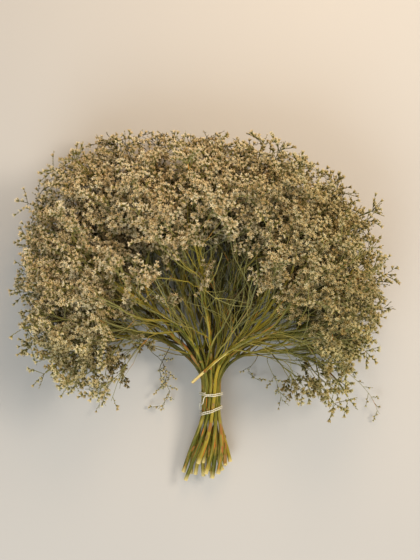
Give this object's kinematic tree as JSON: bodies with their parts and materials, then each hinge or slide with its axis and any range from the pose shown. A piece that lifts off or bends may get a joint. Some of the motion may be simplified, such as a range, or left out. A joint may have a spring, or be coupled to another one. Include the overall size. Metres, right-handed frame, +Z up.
{
  "type": "dried statice bunch",
  "caption": "Tied bunch of dried statice lying on its side: bare stems bound with string, fanning out into a broad, low canopy of small papery flowers.",
  "frame": {"origin": "middle of the bunch's outline in plan, on the surface that it lies on", "axes": "+Y from the cut ends to the flowers, +X across the fan, +Z up from the surface"},
  "size_m": [0.4292, 0.395, 0.1639],
  "materials": {
    "dried_row1": "matte",
    "dried_row2": "matte",
    "dried_row3": "matte",
    "dried_row4": "matte",
    "dried_row5": "matte",
    "dried_straw": "matte",
    "string": "matte"
  },
  "bodies": {
    "root": {"spray_row1_1": "dried_row1", "spray_row1_2": "dried_row1", "spray_row1_3": "dried_row1", "spray_row2_1": "dried_row2", "spray_row2_2": "dried_row2", "spray_row2_3": "dried_row2", "spray_row2_4": "dried_row2", "spray_row3_1": "dried_row3", "spray_row3_2": "dried_row3", "spray_row3_3": "dried_row3", "spray_row3_4": "dried_row3", "spray_row3_5": "dried_row3", "spray_row4_1": "dried_row4", "spray_row4_2": "dried_row4", "spray_row4_3": "dried_row4", "spray_row4_4": "dried_row4", "spray_row5_1": "dried_row5", "spray_row5_2": "dried_row5", "spray_row5_3": "dried_row5", "spray_loose_on_top": "dried_straw", "tie_string": "string"}
  },
  "joints": []
}
